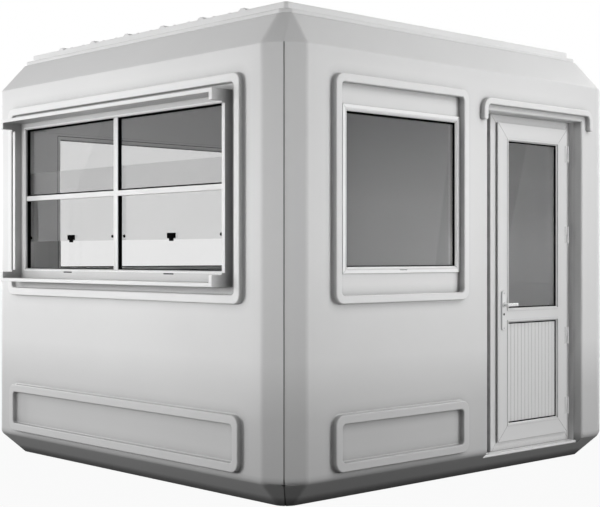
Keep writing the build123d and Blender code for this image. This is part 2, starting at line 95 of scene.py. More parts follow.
def noise(nt, scale, detail=2.0, rough=0.5, stretch=None):
    """Noise in the row frame; stretch scales the axes, for grain that runs one way."""
    source = add(nt, "ShaderNodeTexCoord").outputs["Object"]
    if stretch:
        mapping = add(nt, "ShaderNodeMapping")
        mapping.inputs["Scale"].default_value = stretch
        nt.links.new(source, mapping.inputs["Vector"])
        source = mapping.outputs["Vector"]
    tex = add(nt, "ShaderNodeTexNoise")
    tex.inputs["Scale"].default_value = scale
    tex.inputs["Detail"].default_value = detail
    tex.inputs["Roughness"].default_value = rough
    nt.links.new(source, tex.inputs["Vector"])
    return tex.outputs["Fac"]


def ramp(nt, fac, low, high, low_at=0.3, high_at=0.7):
    """Greys from low to high, or colours where three numbers are given."""
    node = add(nt, "ShaderNodeValToRGB")
    for element, at, value in zip(node.color_ramp.elements, (low_at, high_at), (low, high)):
        element.position = at
        element.color = (*value, 1.0) if isinstance(value, tuple) else (value, value, value, 1.0)
    nt.links.new(fac, node.inputs["Fac"])
    return node.outputs["Color"]


def spread_over(nt, value, low_at, high_at, low, high):
    """A value carried from one range to another, held at its ends."""
    node = add(nt, "ShaderNodeMapRange")
    for key, number in (("From Min", low_at), ("From Max", high_at), ("To Min", low), ("To Max", high)):
        node.inputs[key].default_value = number
    nt.links.new(value, node.inputs["Value"])
    return node.outputs["Result"]


def height(nt):
    split = add(nt, "ShaderNodeSeparateXYZ")
    nt.links.new(add(nt, "ShaderNodeTexCoord").outputs["Object"], split.inputs["Vector"])
    return split.outputs["Z"]


def times(nt, bsdf, *factors):
    """Multiply the colour already on the shader by each factor."""
    for factor in factors:
        node = add(nt, "ShaderNodeMixRGB", blend_type="MULTIPLY")
        node.inputs["Fac"].default_value = 1.0
        nt.links.new(bsdf.inputs["Base Color"].links[0].from_socket, node.inputs["Color1"])
        nt.links.new(factor, node.inputs["Color2"])
        nt.links.new(node.outputs["Color"], bsdf.inputs["Base Color"])


def painted_crevice_shade(nt, bsdf, reach, darkest):
    """Painted shade in the crevices: the colour darkens where ambient occlusion finds surfaces close by."""
    crevice = add(nt, "ShaderNodeAmbientOcclusion", samples=6)
    crevice.inputs["Distance"].default_value = reach
    times(nt, bsdf, spread_over(nt, crevice.outputs["AO"], 0.25, 0.90, darkest, 1.0))


def bump(nt, bsdf, layers):
    """Bump from (height, strength, distance) layers, laid one on the other."""
    normal = None
    for height, strength, distance in layers:
        node = add(nt, "ShaderNodeBump")
        node.inputs["Strength"].default_value = strength
        node.inputs["Distance"].default_value = distance
        nt.links.new(height, node.inputs["Height"])
        if normal:
            nt.links.new(normal, node.inputs["Normal"])
        normal = node.outputs["Normal"]
    nt.links.new(normal, bsdf.inputs["Normal"])


def surface(name, base, spread, rough, patch, grain, stretch=None, metallic=0.0, shine=0.25):
    """A material whose colour, gloss and bump all vary: patch is the scale of the colour, grain of the bump."""
    mat, nt, bsdf = tree(name)
    colour = ramp(nt, noise(nt, patch, 4.0), base - spread, base + spread)
    nt.links.new(colour, bsdf.inputs["Base Color"])
    nt.links.new(ramp(nt, noise(nt, patch * 4.0, 3.0), *rough), bsdf.inputs["Roughness"])
    bsdf.inputs["Metallic"].default_value = metallic
    bsdf.inputs["Specular IOR Level"].default_value = shine
    scale, strength, depth = grain
    bump(nt, bsdf, [(noise(nt, scale, 2.0, stretch=stretch), strength, depth)])
    return mat, nt, bsdf


def gelcoat(name, base, with_painted_shade=True):
    """Moulded fibreglass: slow waviness under a fine orange peel; when asked, painted shade that darkens the walls
    towards the bottom and the skirt most, and painted shade in the crevices; its shine falls near the ground.
    """
    mat, nt, bsdf = surface(name, base, 0.012, (0.38, 0.46), 1.6, (260.0, 0.05, 0.0004))
    bump(nt, bsdf, [(noise(nt, 2.2, 1.0), 0.06, 0.004), (noise(nt, 260.0, 1.0), 0.04, 0.0004)])
    if with_painted_shade:
        # Painted shade: darker from 0.70 m down to 0.42 m, and darker still on the skirt below 0.16 m.
        painted_low_shade = spread_over(nt, height(nt), 0.42, 0.70, 0.795, 1.0)
        painted_skirt_shade = spread_over(nt, height(nt), 0.12, 0.16, 0.67, 1.0)
        times(nt, bsdf, painted_low_shade, painted_skirt_shade)
        painted_crevice_shade(nt, bsdf, 0.055, 0.38)
    nt.links.new(spread_over(nt, height(nt), 0.15, 0.40, 0.0, 0.08), bsdf.inputs["Specular IOR Level"])
    return mat


def plastic(name, base, reach, darkest, stretch=None):
    """Extruded or folded white frame stuff, with painted shade in its corners and recesses."""
    mat, nt, bsdf = surface(name, base, 0.006, (0.30, 0.37), 2.0, (450.0, 0.02, 0.0002), stretch)
    painted_crevice_shade(nt, bsdf, reach, darkest)
    return mat


def glass(name, tint, shine, low=1.0, high=1.0, line=None):
    """Grey glass; low and high tint it over its height, as painted shade.

    line is (direction, place, before, after) of a faint painted reflection, a step in tint across the pane.
    """
    mat, nt, bsdf = tree(name)
    nt.links.new(ramp(nt, noise(nt, 0.8, 2.0), tint - 0.01, tint + 0.01), bsdf.inputs["Base Color"])
    bsdf.inputs["Roughness"].default_value = 0.0
    bsdf.inputs["IOR"].default_value = 1.45
    bsdf.inputs["Transmission Weight"].default_value = 1.0
    bsdf.inputs["Specular IOR Level"].default_value = shine
    bump(nt, bsdf, [(noise(nt, 1.4, 0.0), 0.03, 0.002)])
    # Painted shade: the tint changes over the pane's height, between 1.45 m and 1.88 m.
    times(nt, bsdf, spread_over(nt, height(nt), 1.45, 1.88, low, high))
    # Painted reflection: a soft step in tint along a line across the pane.
    if line:
        direction, place_at, before, after = line
        across = add(nt, "ShaderNodeVectorMath", operation="DOT_PRODUCT")
        nt.links.new(add(nt, "ShaderNodeTexCoord").outputs["Object"], across.inputs[0])
        across.inputs[1].default_value = direction
        times(nt, bsdf, spread_over(nt, across.outputs["Value"], place_at - 0.004, place_at + 0.004, before, after))
    return mat


def vinyl():
    """Speckled floor covering."""
    mat, nt, bsdf = surface("floor_vinyl", 0.24, 0.03, (0.42, 0.55), 3.0, (300.0, 0.1, 0.0004))
    cells = add(nt, "ShaderNodeTexVoronoi")
    cells.inputs["Scale"].default_value = 220.0
    nt.links.new(add(nt, "ShaderNodeTexCoord").outputs["Object"], cells.inputs["Vector"])
    colour = ramp(nt, cells.outputs["Distance"], (0.46, 0.46, 0.45), (0.22, 0.22, 0.215), 0.10, 0.26)
    nt.links.new(colour, bsdf.inputs["Base Color"])
    return mat


LENGTHWISE = (1.0, 1.0, 0.05)
BRUSHED = (0.1, 0.1, 1.0)
MAT = {
    "gelcoat": gelcoat("gelcoat", 0.765),
    # The beads are the wall's gelcoat made lighter: a painted highlight for the light their rounded faces catch.
    "bead": gelcoat("moulded_beads_painted_lighter", 0.82),
    "liner": gelcoat("niche_liner", 0.80, False),
    # The last two numbers of these plastics set how far and how dark their painted crevice shade reaches; the sash and
    # casing get it deep, for the shade inside the casing.
    "upvc": plastic("white_upvc", 0.76, 0.05, 0.45, LENGTHWISE),
    "sash": plastic("window_sash", 0.76, 0.22, 0.35, LENGTHWISE),
    # The right window's frame is the same white uPVC made lighter: painted light that cancels the shade of its recess.
    "side_frame_painted_lighter": plastic("side_frame_painted_lighter", 0.92, 0.02, 0.60, LENGTHWISE),
    "casing": plastic("white_metal", 0.80, 0.20, 0.32),
    "sill": plastic("door_sill", 0.86, 0.01, 0.80),
    "roof": surface("roof_sheet", 0.76, 0.025, (0.38, 0.50), 2.4, (500.0, 0.10, 0.0003))[0],
    "trim": surface("roof_trim", 0.74, 0.02, (0.34, 0.46), 2.4, (500.0, 0.08, 0.0003))[0],
    "hinge": surface("hinge_metal", 0.72, 0.02, (0.26, 0.38), 12.0, (700.0, 0.06, 0.0002))[0],
    "handle": surface("handle_metal", 0.62, 0.04, (0.22, 0.34), 30.0, (600.0, 0.10, 0.0002), BRUSHED, 1.0)[0],
    "plate": surface("plate_metal", 0.74, 0.02, (0.30, 0.42), 20.0, (600.0, 0.08, 0.0002), BRUSHED, 0.15)[0],
    "screw": surface("screw_metal", 0.45, 0.05, (0.28, 0.42), 60.0, (900.0, 0.10, 0.0002), None, 1.0)[0],
    "black": surface("black_plastic", 0.004, 0.002, (0.60, 0.70), 50.0, (900.0, 0.10, 0.0002), shine=0.0)[0],
    "seal": surface("rubber_seal", 0.05, 0.01, (0.50, 0.62), 30.0, (700.0, 0.10, 0.0002), shine=0.08)[0],
    "sealant": surface("joint_sealant", 0.36, 0.03, (0.45, 0.60), 20.0, (240.0, 0.1, 0.0004), shine=0.1)[0],
    "line": surface("joint_line", 0.30, 0.04, (0.50, 0.62), 20.0, (500.0, 0.1, 0.0002), shine=0.1)[0],
    "vinyl": vinyl(),
    # The tints differ pane by pane to darken or lighten each one: painted shade and light on one grey glass. The last
    # entries are painted reflection streaks, and low and high give painted shade over the height.
    "side_glass": glass("side_glass", 0.74, 0.15, 1.0, 0.72, ((0.0, -0.9846, 0.175), 0.4604, 0.9, 1.0)),
    "door_glass": glass("door_glass", 0.56, 0.15, 1.0, 0.86, ((0.0, -0.9552, 0.296), -0.0458, 1.0, 0.9)),
    "fixed_glass": glass("fixed_glass", 0.775, 0.25, 1.0, 1.0, ((-0.8067, 0.0, 0.591), 1.2607, 0.97, 1.02)),
    "raised_glass": glass("raised_glass", 0.76, 0.12),
    "left_glass": glass("left_glass", 0.83, 0.25),
}

PANES = {
    "front_window_fixed_panes": "fixed_glass", "front_window_raised_panes": "raised_glass",
    "left_window_pane": "left_glass", "right_window_pane": "side_glass", "door_pane": "door_glass",
}

OWN_PAINT = {
    "door_threshold": "sill", "door_niche_liner": "liner", "front_window_frame": "sash", "left_window_frame": "sash",
    "right_window_frame": "side_frame_painted_lighter",
}


def paint_for(name):
    """Which material a CAD node takes."""
    if name.endswith(("_pane", "_panes")):
        return PANES[name]
    if name == "front_window_latches":
        return "black"
    if "hinge" in name:
        return "hinge"
    if name == "door_lever":
        return "handle"
    if name == "door_lock_plates":
        return "plate"
    if name == "roof_sheet":
        return "roof"
    if name == "roof_lip":
        return "trim"
    if name.endswith(("_beads", "_bead", "_surround")):
        return "bead"
    if name in OWN_PAINT:
        return OWN_PAINT[name]
    if name.endswith("_casing"):
        return "casing"
    if name in ("door_leaf", "door_frame", "door_lower_panel"):
        return "upvc"
    return "gelcoat"


for name, obj in nodes.items():
    obj.data.materials.clear()
    obj.data.materials.append(MAT[paint_for(name)])

# Building of pieces.
MM = 0.001
HALF = 1350.0
CABIN, DOOR = "cabin", "door"


def place(wall, a, out, z):
    """Point of a wall: a runs along it, out is proud of its face, z is up; mm in, metres out."""
    spot = {
        "front": (a, -HALF - out, z),
        "right": (HALF + out, a, z),
        "back": (-a, HALF + out, z),
        "left": (-HALF - out, -a, z),
    }[wall]
    return Vector(spot) * MM


def shaded(mesh, angle=28.0):
    mesh.shade_smooth()
    mesh.set_sharp_from_angle(angle=math.radians(angle))


def soften(bm, width, segments, least=20.0, most=180.0, test=None, clamp=True):
    """Round the edges whose faces turn by an angle between least and most."""
    picked = []
    for edge in bm.edges:
        if len(edge.link_faces) == 2 and least < math.degrees(edge.calc_face_angle(0.0)) < most:
            if test is None or test(edge):
                picked.append(edge)
    if picked:
        bmesh.ops.bevel(
            bm, geom=picked, offset=width * MM, offset_type="OFFSET", segments=segments,
            profile=0.5, affect="EDGES", clamp_overlap=clamp,
        )


def piece(name, bm, paint, body=CABIN, round_by=0.0, segments=2):
    bmesh.ops.recalc_face_normals(bm, faces=bm.faces)
    if round_by:
        soften(bm, round_by, segments, 30.0)
    mesh = bpy.data.meshes.new(name)
    bm.to_mesh(mesh)
    bm.free()
    shaded(mesh)
    mesh.materials.append(MAT[paint])
    obj = bpy.data.objects.new(name, mesh)
    scene.collection.objects.link(obj)
    even = obj.modifiers.new("even_normals", "WEIGHTED_NORMAL")
    even.keep_sharp = True
    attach(obj, body)
    return obj


def welded(name):
    """The CAD node as a clean mesh, with its flat faces whole."""
    bm = bmesh.new()
    bm.from_mesh(nodes[name].data)
    bmesh.ops.remove_doubles(bm, verts=bm.verts, dist=0.00002)
    bmesh.ops.dissolve_limit(bm, angle_limit=math.radians(0.4), verts=bm.verts, edges=bm.edges)
    return bm


def refined(name, width, segments=3, least=20.0, most=180.0, test=None):
    """The CAD node again, with its edges rounded."""
    bm = welded(name)
    soften(bm, width, segments, least, most, test)
    obj = piece(name + "_rounded", bm, paint_for(name), nodes[name]["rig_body"])
    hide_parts(name)
    return obj


def prism(bm, wall, loop, out0, out1):
    """Solid over an (a, z) outline between two depths."""
    back = [bm.verts.new(place(wall, a, out0, z)) for a, z in loop]
    front = [bm.verts.new(place(wall, a, out1, z)) for a, z in loop]
    bm.faces.new(back)
    bm.faces.new(front)
    for i in range(len(loop)):
        j = (i + 1) % len(loop)
        bm.faces.new((back[i], back[j], front[j], front[i]))


def ring(bm, wall, outer, wide, out0, out1):
    """Mitred rectangular ring; outer is (a0, a1, z0, z1)."""
    a0, a1, z0, z1 = outer
    rims = []
    for inset, out in ((0.0, out0), (0.0, out1), (wide, out1), (wide, out0)):
        loop = ((a0 + inset, z0 + inset), (a1 - inset, z0 + inset), (a1 - inset, z1 - inset), (a0 + inset, z1 - inset))
        rims.append([bm.verts.new(place(wall, a, out, z)) for a, z in loop])
    for k in range(4):
        one, two = rims[k], rims[(k + 1) % 4]
        for i in range(4):
            j = (i + 1) % 4
            bm.faces.new((one[i], one[j], two[j], two[i]))


def strip(bm, wall, start, end, wide, out0, out1):
    """Thin straight strip between two (a, z) points."""
    along = Vector(end) - Vector(start)
    side = Vector((-along.y, along.x)).normalized() * wide / 2
    corners = (Vector(start) - side, Vector(end) - side, Vector(end) + side, Vector(start) + side)
    prism(bm, wall, [tuple(c) for c in corners], out0, out1)


def disc(bm, wall, a, z, radius, out0, out1, sides=20):
    turn = 2.0 * math.pi / sides
    loop = [(a + radius * math.cos(turn * k), z + radius * math.sin(turn * k)) for k in range(sides)]
    prism(bm, wall, loop, out0, out1)


def rounded_loop(a0, a1, z0, z1, radius, steps=5):
    loop = []
    for ca, cz, start in ((a1 - radius, z0 + radius, 270), (a1 - radius, z1 - radius, 0),
                          (a0 + radius, z1 - radius, 90), (a0 + radius, z0 + radius, 180)):
        for k in range(steps + 1):
            angle = math.radians(start + 90.0 * k / steps)
            loop.append((ca + radius * math.cos(angle), cz + radius * math.sin(angle)))
    return loop

# CAD nodes with their edges rounded.
BEADS = (
    "lower_panel_beads", "front_window_surround", "left_window_surround", "right_window_surround", "door_hood_bead",
)
for name in BEADS:
    refined(name, 1.5, 2, 25.0, 70.0)
for name, width in (
    ("front_window_casing", 2.5), ("front_window_frame", 1.6), ("left_window_frame", 1.6),
    ("right_window_frame", 1.6), ("door_frame", 2.5), ("door_leaf", 2.0), ("door_lock_plates", 2.0),
    ("front_window_latches", 0.8), ("door_threshold", 2.0), ("roof_lip", 6.0), ("roof_sheet", 3.0),
    ("door_hinge_fixed_halves", 0.8), ("door_hinge_moving_halves", 0.8),
):
    refined(name, width)

# Walls, skirt and cornice are one moulding: joined, with soft bends and a soft line under the cornice.
SHELL = ["base_tray", "roof_cornice"] + [n for n in nodes if "_wall_" in n or n == "back_wall"]
SOFT_BEND = 12.0
CORNICE_LINE = 4.0
WALL_TOP = 2.2


def joined(names):
    """One mesh from solids that touch."""
    group = bpy.data.collections.new("joining")
    made = []
    for name in names:
        mesh = bpy.data.meshes.new("joining")
        bm = welded(name)
        bm.to_mesh(mesh)
        bm.free()
        made.append(bpy.data.objects.new("joining", mesh))
    scene.collection.objects.link(made[0])
    for obj in made[1:]:
        group.objects.link(obj)
    union = made[0].modifiers.new("union", "BOOLEAN")
    union.operation = "UNION"
    union.operand_type = "COLLECTION"
    union.collection = group
    union.solver = "EXACT"
    union.use_hole_tolerant = True
    graph = bpy.context.evaluated_depsgraph_get()
    whole = bpy.data.meshes.new_from_object(made[0].evaluated_get(graph))
    for obj in made:
        bpy.data.objects.remove(obj)
    bpy.data.collections.remove(group)
    bm = bmesh.new()
    bm.from_mesh(whole)
    bpy.data.meshes.remove(whole)
    bmesh.ops.remove_doubles(bm, verts=bm.verts, dist=0.00005)
    bmesh.ops.dissolve_limit(bm, angle_limit=math.radians(0.4), verts=bm.verts, edges=bm.edges)
    return bm


bm = joined(SHELL)


def is_bend(edge):
    """An outer bend between wall and facet; the ridges keep their seams."""
    one, two = (v.co for v in edge.verts)
    upright = abs(one.z - two.z) > 0.5 * edge.calc_length()
    on_ridge = all(abs(abs(v.x) - abs(v.y)) < 0.02 for v in (one, two))
    return edge.is_convex and upright and not on_ridge


def under_cornice(edge):
    return edge.is_convex and all(abs(v.co.z - WALL_TOP) < 0.001 for v in edge.verts)


soften(bm, SOFT_BEND, 4, 17.0, 60.0, is_bend, False)
soften(bm, CORNICE_LINE, 3, 17.0, 60.0, under_cornice, False)
shell = piece("moulded_shell", bm, "gelcoat")
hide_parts(*SHELL)

# Sizes of the part that the details are set against, in mm.
CELL, MULLION = 914.0, 20.0
CELL_LOW, CELL_HIGH = 1124.0, 1943.0
TRANSOM = (1522.0, 1550.0)
SASH = (-960.0, 960.0, 1069.0, 1980.0)
SASH_FACE, SASH_BACK = 4.0, -58.0
FIXED_PANE = (-26.0, -20.0)
RAISED_PANE = (-38.0, -32.0)
FRONT_CELLS = (-CELL, CELL, CELL_LOW, CELL_HIGH)
LEFT_CELL = (-870.0, 870.0, CELL_LOW, CELL_HIGH)
LEFT_PANE = (-22.0, -8.0)
SIDE_FRAME = (-959.0, -85.0, 1112.0, 1934.0)
SIDE_CELL = (-926.0, -118.0, 1145.0, 1901.0)
SIDE_FACE = -2.0
SIDE_PANE = (-28.0, -14.0)
DOOR_FRAME = (288.0, 1028.0, 97.0, 1987.0)
DOOR_HOLE = (346.0, 970.0, 174.0, 1929.0)
FRAME_FACE = -92.0
LEAF = (334.0, 982.0, 162.0, 1941.0)
LEAF_GLASS = (431.0, 885.0, 905.0, 1843.0)
LEAF_PANEL = (431.0, 885.0, 259.0, 823.0)
LEAF_FACE, LEAF_BACK = -76.0, -139.0
DOOR_PANE = (-102.0, -88.0)
LOCK_A, LEVER_Z, KEY_Z = 377.0, 925.0, 872.0
PLATE_Z = (784.0, 1001.0)
HINGE_Z = (316.8, 729.5, 1321.9, 1798.7)
HINGE_TALL = 98.0
HALVES = ((-CELL, -MULLION), (MULLION, CELL))


def grown(rect, by):
    a0, a1, z0, z1 = rect
    return a0 - by, a1 + by, z0 - by, z1 + by


# Coves where the beads run into the walls.
BEAD_CORNER, BEAD_INNER_CORNER = 50.0, 20.0
COVE = 7.0


def cove(bm, wall, rect, radius, grow):
    """Hollow fillet at the foot of a bead; grow is 1 round its outside and -1 round its inside."""
    section = [(-0.5, COVE), (-0.5, -0.5), (COVE, -0.5)]
    for k in range(6):
        turn = math.radians(90.0 * k / 5)
        section.append((COVE * (1.0 - math.sin(turn)), COVE * (1.0 - math.cos(turn))))
    rims = []
    for off, out in section:
        loop = rounded_loop(*grown(rect, grow * off), radius + grow * off)
        rims.append([bm.verts.new(place(wall, a, out, z)) for a, z in loop])
    for k in range(len(rims)):
        one, two = rims[k], rims[(k + 1) % len(rims)]
        for i in range(len(one)):
            j = (i + 1) % len(one)
            bm.faces.new((one[i], one[j], two[j], two[i]))


bm = bmesh.new()
for wall in ("front", "right", "back", "left"):
    ends = (-1034.0, -45.0) if wall == "right" else (-1058.0, 1058.0)
    cove(bm, wall, (*ends, 160.0, 434.0), BEAD_CORNER, 1.0)
    cove(bm, wall, grown((*ends, 160.0, 434.0), -44.0), BEAD_INNER_CORNER, -1.0)
for wall, ends in (("front", (-1072.0, 1072.0)), ("left", (-1072.0, 1072.0)), ("right", (-1034.0, -45.0))):
    cove(bm, wall, (*ends, 967.0, 2076.0), BEAD_CORNER, 1.0)
    if wall != "right":
        cove(bm, wall, grown((*ends, 967.0, 2076.0), -44.0), BEAD_INNER_CORNER, -1.0)
piece("bead_coves", bm, "bead")

# Black gaskets round the panes.
GASKET = 4.5
bm = bmesh.new()
for a0, a1 in HALVES:
    cell = (a0, a1, TRANSOM[1], CELL_HIGH)
    ring(bm, "front", cell, GASKET, FIXED_PANE[1], -12.0)
    ring(bm, "front", cell, GASKET, RAISED_PANE[1] + 0.5, FIXED_PANE[0])
    for z0, z1 in ((CELL_HIGH - 10.0, CELL_HIGH), (TRANSOM[1], TRANSOM[1] + 8.0)):
        prism(bm, "front", ((a0, z0), (a1, z0), (a1, z1), (a0, z1)), FIXED_PANE[1], -12.5)
    for side, inner in ((a0, a0 + GASKET), (a1, a1 - GASKET)):
        loop = ((side, CELL_LOW), (inner, CELL_LOW), (inner, TRANSOM[0]), (side, TRANSOM[0]))
        prism(bm, "front", loop, RAISED_PANE[1] + 0.5, -12.0)
    loop = ((a0, CELL_LOW), (a1, CELL_LOW), (a1, CELL_LOW + GASKET), (a0, CELL_LOW + GASKET))
    prism(bm, "front", loop, RAISED_PANE[0], -16.0)
piece("front_window_gaskets", bm, "black", CABIN, 1.0)
bm = bmesh.new()
ring(bm, "left", LEFT_CELL, GASKET, LEFT_PANE[1], -3.0)
ring(bm, "left", LEFT_CELL, GASKET + 2.0, LEFT_PANE[0] - 10.0, LEFT_PANE[0])
ring(bm, "left", grown(LEFT_CELL, 22.0), 4.0, SASH_BACK - 0.4, SASH_BACK + 1.0)
piece("left_window_gaskets", bm, "black", CABIN, 0.4)
bm = bmesh.new()
ring(bm, "right", SIDE_CELL, GASKET, SIDE_PANE[1], -10.0)
a0, a1, z0, z1 = SIDE_CELL
prism(bm, "right", ((a0, z1 - 11.0), (a1, z1 - 11.0), (a1, z1), (a0, z1)), SIDE_PANE[1], -10.5)
prism(bm, "right", ((a1 - 10.0, z0), (a1, z0), (a1, z1), (a1 - 10.0, z1)), SIDE_PANE[1], -10.5)
piece("right_window_gaskets", bm, "black", CABIN, 1.0)
bm = bmesh.new()
for rect in (LEAF_GLASS, LEAF_PANEL):
    ring(bm, "right", rect, GASKET + 2.0, DOOR_PANE[1], -84.0)
a0, a1, z0, z1 = LEAF_GLASS
prism(bm, "right", ((a0, z1 - 8.0), (a1, z1 - 8.0), (a1, z1), (a0, z1)), DOOR_PANE[1], -84.5)
piece("door_gaskets", bm, "black", DOOR, 1.0)

# Glazing beads: rims on the outer faces, and the clip-in beads behind the panes.
bm = bmesh.new()
ring(bm, "front", grown(FRONT_CELLS, 13.0), 7.0, SASH_FACE - 1.0, SASH_FACE + 0.8)
ring(bm, "left", grown(LEFT_CELL, 15.0), 7.0, SASH_FACE - 1.0, SASH_FACE + 1.2)
ring(bm, "right", grown(SIDE_CELL, 16.0), 7.0, SIDE_FACE - 1.0, SIDE_FACE + 1.2)
ring(bm, "right", SIDE_CELL, 6.0, SIDE_PANE[0] - 14.0, SIDE_PANE[0])
piece("window_glazing_beads", bm, "upvc", CABIN, 0.5)
bm = bmesh.new()
for rect in (LEAF_GLASS, LEAF_PANEL):
    ring(bm, "right", grown(rect, 15.0), 8.0, LEAF_FACE - 1.0, LEAF_FACE + 3.0)
    ring(bm, "right", grown(rect, 17.0), 8.0, LEAF_BACK - 1.2, LEAF_BACK + 1.0)
    ring(bm, "right", rect, 6.0, DOOR_PANE[0] - 12.0, DOOR_PANE[0])
piece("door_glazing_beads", bm, "upvc", DOOR, 0.6)

# Dark strips down the left side of the door frame: painted shade for the deep gap beside it, in the joint-line grey.
bm = bmesh.new()
prism(bm, "right", ((286.0, 112.0), (288.4, 112.0), (288.4, 1986.0), (286.0, 1986.0)), -139.5, -98.0)
prism(bm, "right", ((258.0, 112.0), (287.0, 112.0), (287.0, 1986.0), (258.0, 1986.0)), -140.5, -138.5)
piece("door_frame_gap_shade", bm, "line", CABIN, 0.5)


# Mitred corners show as thin joint lines.
LINE_WIDE, LINE_PROUD = 1.7, 0.15


def mitres(bm, wall, outer, inner, face, wide=LINE_WIDE):
    for i in (0, 1):
        for k in (2, 3):
            strip(bm, wall, (outer[i], outer[k]), (inner[i], inner[k]), wide, face - 1.0, face + LINE_PROUD)


bm = bmesh.new()
mitres(bm, "front", SASH, FRONT_CELLS, SASH_FACE)
mitres(bm, "left", SASH, LEFT_CELL, SASH_FACE)
mitres(bm, "right", SIDE_FRAME, SIDE_CELL, SIDE_FACE, 1.2)
mitres(bm, "right", DOOR_FRAME, DOOR_HOLE, FRAME_FACE)
# Along the foot of the door frame a wider line marks its joint to the threshold. It is drawn dark for the shadow under
# the frame's edge too, so it is partly painted shade.
strip(bm, "right", (288.0, 112.0), (1028.0, 112.0), 3.0, FRAME_FACE - 1.0, FRAME_FACE + LINE_PROUD)
piece("frame_joint_lines", bm, "line")
bm = bmesh.new()
top_half = (LEAF_GLASS[0], LEAF_GLASS[1], LEAF_PANEL[2], LEAF_GLASS[3])
mitres(bm, "right", LEAF, grown(top_half, 15.0), LEAF_FACE)
mitres(bm, "right", grown(LEAF, -22.0), top_half, LEAF_BACK + 0.8, 1.2)
piece("door_joint_lines", bm, "line", DOOR)
# Dark lines on the leaf beside the hinges: painted shadow of the gaps at the hinges, in the dark rubber material.
bm = bmesh.new()
for middle in HINGE_Z:
    ends = (middle - HINGE_TALL / 2, middle + HINGE_TALL / 2)
    strip(bm, "right", (967.0, ends[0]), (967.0, ends[1]), 2.6, LEAF_FACE - 1.0, LEAF_FACE + LINE_PROUD)
piece("hinge_gap_shadow_lines", bm, "seal", DOOR)

# Drain slots in the bottom rails, drawn as black marks for the shade inside them (painted shade), and the black stops
# of the raised panes.
bm = bmesh.new()
for middle, rail, long, face, wall in (
    (-457.0, 1106.5, 86.0, SASH_FACE, "front"), (483.0, 1106.5, 86.0, SASH_FACE, "front"),
    (-470.0, 1106.5, 86.0, SASH_FACE, "left"), (470.0, 1106.5, 86.0, SASH_FACE, "left"),
    (-526.0, 1129.5, 56.0, SIDE_FACE, "right"),
):
    loop = rounded_loop(middle - long / 2, middle + long / 2, rail - 3.0, rail + 3.0, 2.9)
    prism(bm, wall, loop, face - 1.5, face + 0.4)
for a in (-902.0, -64.0, 46.0, 866.0):
    disc(bm, "front", a, 1305.0, 8.0, RAISED_PANE[1], RAISED_PANE[1] + 5.5)
piece("window_drains_and_stops", bm, "black", CABIN, 0.3)

# Sealant in the four corner seams.
RIDGE = 1293.3
bm = bmesh.new()
for sx in (-1.0, 1.0):
    for sy in (-1.0, 1.0):
        deep = Vector((sx, sy, 0.0)).normalized()
        along = Vector((-sy, sx, 0.0)).normalized()
        corner = Vector((sx * RIDGE, sy * RIDGE, 0.0))
        outline = [(-8.8, -2.9), (-3.0, -2.9), (-2.0, -1.5), (-1.7, 0.0), (-2.0, 1.5), (-3.0, 2.9), (-8.8, 2.9)]
        rims = []
        for z in (152.0, 2199.0):
            up = Vector((0.0, 0.0, z))
            rims.append([bm.verts.new((corner + deep * d + along * t + up) * MM) for d, t in outline])
            bm.faces.new(rims[-1])
        for i in range(len(outline)):
            j = (i + 1) % len(outline)
            bm.faces.new((rims[0][i], rims[0][j], rims[1][j], rims[1][i]))
piece("corner_seam_sealant", bm, "sealant")


# Lock furniture: screws, key cylinder and the collar of the lever.
def screw(bm, slots, wall, a, z, radius, face, up):
    """Domed screw head standing up from a face, with its cross cut."""
    disc(bm, wall, a, z, radius, face - up * 1.0, face + up * 0.9)
    disc(bm, wall, a, z, radius * 0.72, face, face + up * 1.4)
    # The cross cut is a black strip standing on the head: painted shade for the recess.
    for da, dz in ((radius * 0.5, 0.0), (0.0, radius * 0.5)):
        strip(slots, wall, (a - da, z - dz), (a + da, z + dz), radius * 0.22, face, face + up * 1.5)


def collar(bm, wall, a, z, hole, radius, out0, out1, sides=28):
    turn = 2.0 * math.pi / sides
    rims = []
    for r, out in ((hole, out0), (radius, out0), (radius - 0.8, out1), (hole, out1)):
        spots = [(a + r * math.cos(turn * k), z + r * math.sin(turn * k)) for k in range(sides)]
        rims.append([bm.verts.new(place(wall, pa, out, pz)) for pa, pz in spots])
    for k in range(4):
        one, two = rims[k], rims[(k + 1) % 4]
        for i in range(sides):
            j = (i + 1) % sides
            bm.faces.new((one[i], one[j], two[j], two[i]))


PLATE_FACES = ((LEAF_FACE + 8.0, 1.0), (LEAF_BACK - 8.0, -1.0))
heads, cuts, collars = bmesh.new(), bmesh.new(), bmesh.new()
for face, up in PLATE_FACES:
    for z in (PLATE_Z[0] + 11.0, PLATE_Z[1] - 11.0):
        screw(heads, cuts, "right", LOCK_A, z, 3.6, face, up)
    # The keyhole is a black disc: painted shade for the hole.
    disc(cuts, "right", LOCK_A, KEY_Z, 6.6, face - up * 7.0, face + up * 0.15)
    collar(collars, "right", LOCK_A, LEVER_Z, 10.0, 14.5, face, face + up * 4.0)
piece("lock_plate_screws", heads, "screw", DOOR)
piece("lock_keyholes_and_cuts", cuts, "black", DOOR)
piece("lever_collars", collars, "handle", DOOR)

# Roof sheet: low swages between the ribs, and screws with washers in the valleys.
SHEET_TOP = 2428.0
RIB_PITCH = 333.0


def roof_box(bm, x, half_wide, half_top, long, z0, z1):
    """Low trapezoid running along Y."""
    outline = [(x - half_wide, z0), (x + half_wide, z0), (x + half_top, z1), (x - half_top, z1)]
    rims = []
    for y in (-long, long):
        rims.append([bm.verts.new(Vector((px, y, pz)) * MM) for px, pz in outline])
        bm.faces.new(rims[-1])
    for i in range(4):
        j = (i + 1) % 4
        bm.faces.new((rims[0][i], rims[0][j], rims[1][j], rims[1][i]))


